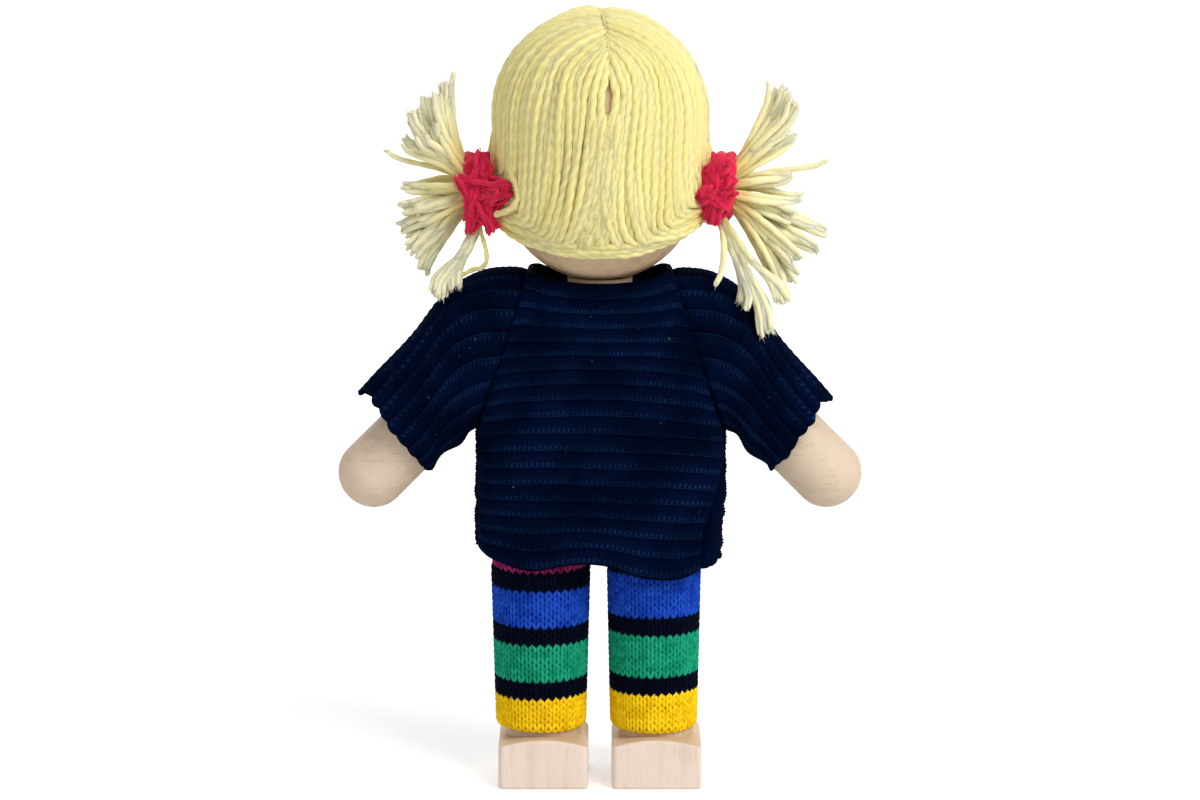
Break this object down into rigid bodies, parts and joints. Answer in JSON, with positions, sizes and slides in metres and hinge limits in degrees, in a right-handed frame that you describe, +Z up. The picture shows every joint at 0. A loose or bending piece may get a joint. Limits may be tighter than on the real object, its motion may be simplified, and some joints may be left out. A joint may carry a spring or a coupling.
{
  "type": "peg doll",
  "caption": "Wooden peg doll with a turned head, yarn bunches tied in red, ribbed navy sweater, striped knitted leggings and block feet.",
  "frame": {"origin": "on the floor, between the feet, at the middle of the doll's box", "axes": "+Z up, the doll faces -Y, the doll's left side is +X"},
  "size_m": [0.0976, 0.0385, 0.1452],
  "materials": {
    "wood": "satin",
    "hair_yarn": "matte",
    "tie_yarn": "matte",
    "sweater_knit": "matte",
    "leggings_knit": "matte",
    "thread": "matte"
  },
  "bodies": {
    "torso": {"torso": "wood", "hip_axle": "wood", "leggings_seat": "leggings_knit", "sweater_front": "sweater_knit", "sweater_back": "sweater_knit", "left_side_seam": "sweater_knit", "right_side_seam": "sweater_knit"},
    "head": {"head": "wood", "neck_peg": "wood", "hair_left": "hair_yarn", "hair_right": "hair_yarn", "parting_stitch": "thread", "left_bunch": "hair_yarn", "right_bunch": "hair_yarn", "left_bunch_ends": "hair_yarn", "right_bunch_ends": "hair_yarn", "left_hair_tie": "tie_yarn", "right_hair_tie": "tie_yarn"},
    "left_arm": {"left_arm": "wood", "left_shoulder_peg": "wood", "left_sleeve": "sweater_knit"},
    "right_arm": {"right_arm": "wood", "right_shoulder_peg": "wood", "right_sleeve": "sweater_knit"},
    "left_leg": {"left_leg": "wood", "left_foot": "wood", "left_foot_peg": "wood", "left_legging": "leggings_knit"},
    "right_leg": {"right_leg": "wood", "right_foot": "wood", "right_foot_peg": "wood", "right_legging": "leggings_knit"}
  },
  "joints": [
    {"name": "head_turn", "type": "hinge", "parent": "torso", "child": "head", "pos_m": [0, 0, 0.0954], "axis": [0, 0, 1], "range_deg": [-90, 90], "deforming": ["left_bunch_ends", "right_bunch_ends"]},
    {"name": "left_shoulder_swing", "type": "hinge", "parent": "torso", "child": "left_arm", "pos_m": [0.017, 0, 0.0838], "axis": [-1, 0, 0], "range_deg": [-45, 90], "deforming": ["left_sleeve"]},
    {"name": "right_shoulder_swing", "type": "hinge", "parent": "torso", "child": "right_arm", "pos_m": [-0.017, 0, 0.0838], "axis": [-1, 0, 0], "range_deg": [-45, 90], "deforming": ["right_sleeve"]},
    {"name": "left_hip_swing", "type": "hinge", "parent": "torso", "child": "left_leg", "pos_m": [0.0106, 0, 0.05], "axis": [-1, 0, 0], "range_deg": [-30, 90], "deforming": ["sweater_front", "leggings_seat"]},
    {"name": "right_hip_swing", "type": "hinge", "parent": "torso", "child": "right_leg", "pos_m": [-0.0106, 0, 0.05], "axis": [-1, 0, 0], "range_deg": [-30, 90], "deforming": ["sweater_back"]}
  ]
}
